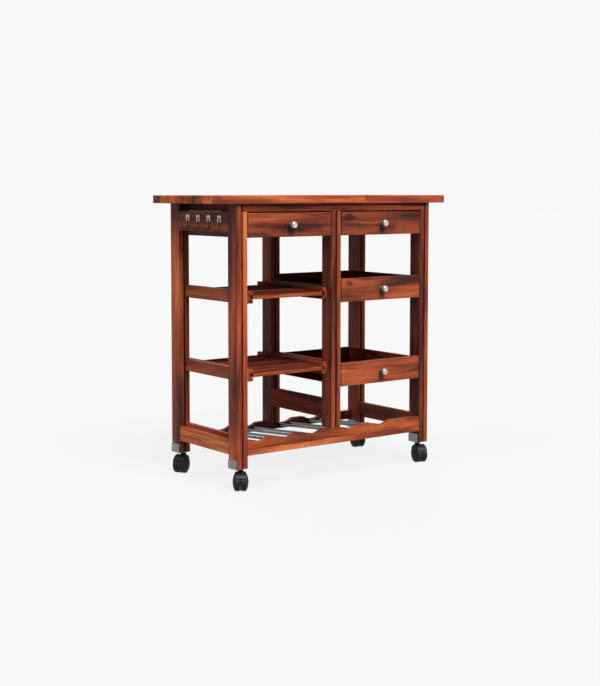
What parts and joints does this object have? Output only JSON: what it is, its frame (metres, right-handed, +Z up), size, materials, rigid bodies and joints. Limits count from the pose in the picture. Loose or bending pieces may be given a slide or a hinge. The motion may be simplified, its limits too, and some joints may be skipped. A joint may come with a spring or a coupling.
{
  "type": "bar cart on wheels",
  "caption": "Wooden bar cart on swivel casters with drawers, pull-out shelves, a sloping bottle rack and hooks on one end.",
  "frame": {"origin": "centre of the bounding box on the floor", "axes": "+Z up, -Y the front with the drawer knobs, -X the end with the hooks"},
  "size_m": [0.856, 0.393, 0.861],
  "materials": {
    "top_wood": "satin lacquered reddish-brown hardwood, glued staves",
    "frame_wood": "satin lacquered reddish-brown hardwood with dark streaks",
    "drawer_front_wood": "satin lacquered hardwood with strong dark streaks",
    "light_rail_wood": "satin lacquered hardwood, lighter orange board",
    "dark_wood": "satin lacquered hardwood, darker red-brown",
    "shelf_wood": "satin lacquered hardwood boards",
    "knob_metal": "brushed nickel",
    "rod_steel": "bright plated steel rod",
    "hook_metal": "plated steel wire",
    "screw_steel": "zinc plated",
    "bracket_steel": "zinc plated folded sheet",
    "caster_hood_plastic": "black moulded nylon",
    "caster_wheel_plastic": "black moulded nylon"
  },
  "bodies": {
    "root": {"back_rack_bar": "dark_wood", "back_top_rail": "dark_wood", "bracket_screws": "screw_steel", "caster_brackets": "bracket_steel", "cross_top_rails": "dark_wood", "drawer_battens": "dark_wood", "filler_strips": "dark_wood", "front_bottom_rail": "light_rail_wood", "front_rack_bar": "dark_wood", "front_top_rail": "dark_wood", "hook_screws": "screw_steel", "hooks": "hook_metal", "left_back_inner_board": "frame_wood", "left_back_outer_board": "frame_wood", "left_front_inner_board": "frame_wood", "left_front_outer_board": "frame_wood", "left_inner_rails": "frame_wood", "left_mid_rails": "frame_wood", "left_outer_bottom_rail": "frame_wood", "left_outer_top_rail": "frame_wood", "middle_left_post_boards": "frame_wood", "middle_rails": "dark_wood", "middle_right_post_boards": "frame_wood", "middle_upper_rails": "dark_wood", "rack_rods": "rod_steel", "right_back_inner_board": "frame_wood", "right_back_outer_board": "frame_wood", "right_front_inner_board": "frame_wood", "right_front_outer_board": "frame_wood", "right_inner_rails": "frame_wood", "right_mid_rails": "frame_wood", "right_outer_bottom_rail": "frame_wood", "right_outer_top_rail": "frame_wood", "shelf_1_runners": "dark_wood", "shelf_2_runners": "dark_wood", "shelf_spacers": "dark_wood", "table_top": "top_wood"},
    "left_top_drawer": {"left_top_drawer_front": "drawer_front_wood", "left_top_drawer_box": "shelf_wood", "left_top_knob": "knob_metal"},
    "right_top_drawer": {"right_top_drawer_front": "drawer_front_wood", "right_top_drawer_box": "shelf_wood", "right_top_knob": "knob_metal"},
    "right_middle_drawer": {"right_middle_drawer_front": "drawer_front_wood", "right_middle_drawer_box": "shelf_wood", "right_middle_knob": "knob_metal"},
    "right_lower_drawer": {"right_lower_drawer_front": "drawer_front_wood", "right_lower_drawer_box": "shelf_wood", "right_lower_knob": "knob_metal"},
    "upper_shelf": {"shelf_1": "shelf_wood"},
    "lower_shelf": {"shelf_2": "shelf_wood"},
    "left_front_swivel": {"left_front_caster_hood": "caster_hood_plastic"},
    "left_front_wheels": {"left_front_caster_wheels": "caster_wheel_plastic"},
    "left_back_swivel": {"left_back_caster_hood": "caster_hood_plastic"},
    "left_back_wheels": {"left_back_caster_wheels": "caster_wheel_plastic"},
    "right_front_swivel": {"right_front_caster_hood": "caster_hood_plastic"},
    "right_front_wheels": {"right_front_caster_wheels": "caster_wheel_plastic"},
    "right_back_swivel": {"right_back_caster_hood": "caster_hood_plastic"},
    "right_back_wheels": {"right_back_caster_wheels": "caster_wheel_plastic"}
  },
  "joints": [
    {"name": "left_top_drawer_slide", "type": "slide", "parent": "root", "child": "left_top_drawer", "axis": [0, -1, 0], "range_m": [0, 0.25]},
    {"name": "right_top_drawer_slide", "type": "slide", "parent": "root", "child": "right_top_drawer", "axis": [0, -1, 0], "range_m": [0, 0.25]},
    {"name": "right_middle_drawer_slide", "type": "slide", "parent": "root", "child": "right_middle_drawer", "axis": [0, -1, 0], "range_m": [0, 0.25]},
    {"name": "right_lower_drawer_slide", "type": "slide", "parent": "root", "child": "right_lower_drawer", "axis": [0, -1, 0], "range_m": [0, 0.25]},
    {"name": "upper_shelf_slide", "type": "slide", "parent": "root", "child": "upper_shelf", "axis": [0, -1, 0], "range_m": [0, 0.2]},
    {"name": "lower_shelf_slide", "type": "slide", "parent": "root", "child": "lower_shelf", "axis": [0, -1, 0], "range_m": [0, 0.2]},
    {"name": "left_front_swivel_turn", "type": "hinge", "parent": "root", "child": "left_front_swivel", "pos_m": [-0.343, -0.1475, 0.067], "axis": [0, 0, 1], "continuous": true},
    {"name": "left_front_wheels_roll", "type": "hinge", "parent": "left_front_swivel", "child": "left_front_wheels", "pos_m": [-0.35083, -0.15911, 0.027], "axis": [0.829, -0.5592, 0], "continuous": true},
    {"name": "left_back_swivel_turn", "type": "hinge", "parent": "root", "child": "left_back_swivel", "pos_m": [-0.343, 0.1665, 0.067], "axis": [0, 0, 1], "continuous": true},
    {"name": "left_back_wheels_roll", "type": "hinge", "parent": "left_back_swivel", "child": "left_back_wheels", "pos_m": [-0.35512, 0.1595, 0.027], "axis": [0.5, -0.866, 0], "continuous": true},
    {"name": "right_front_swivel_turn", "type": "hinge", "parent": "root", "child": "right_front_swivel", "pos_m": [0.353, -0.1475, 0.067], "axis": [0, 0, 1], "continuous": true},
    {"name": "right_front_wheels_roll", "type": "hinge", "parent": "right_front_swivel", "child": "right_front_wheels", "pos_m": [0.34914, -0.16096, 0.027], "axis": [0.9613, -0.2756, 0], "continuous": true},
    {"name": "right_back_swivel_turn", "type": "hinge", "parent": "root", "child": "right_back_swivel", "pos_m": [0.353, 0.1665, 0.067], "axis": [0, 0, 1], "continuous": true},
    {"name": "right_back_wheels_roll", "type": "hinge", "parent": "right_back_swivel", "child": "right_back_wheels", "pos_m": [0.35009, 0.15281, 0.027], "axis": [0.9781, -0.2079, 0], "continuous": true}
  ]
}
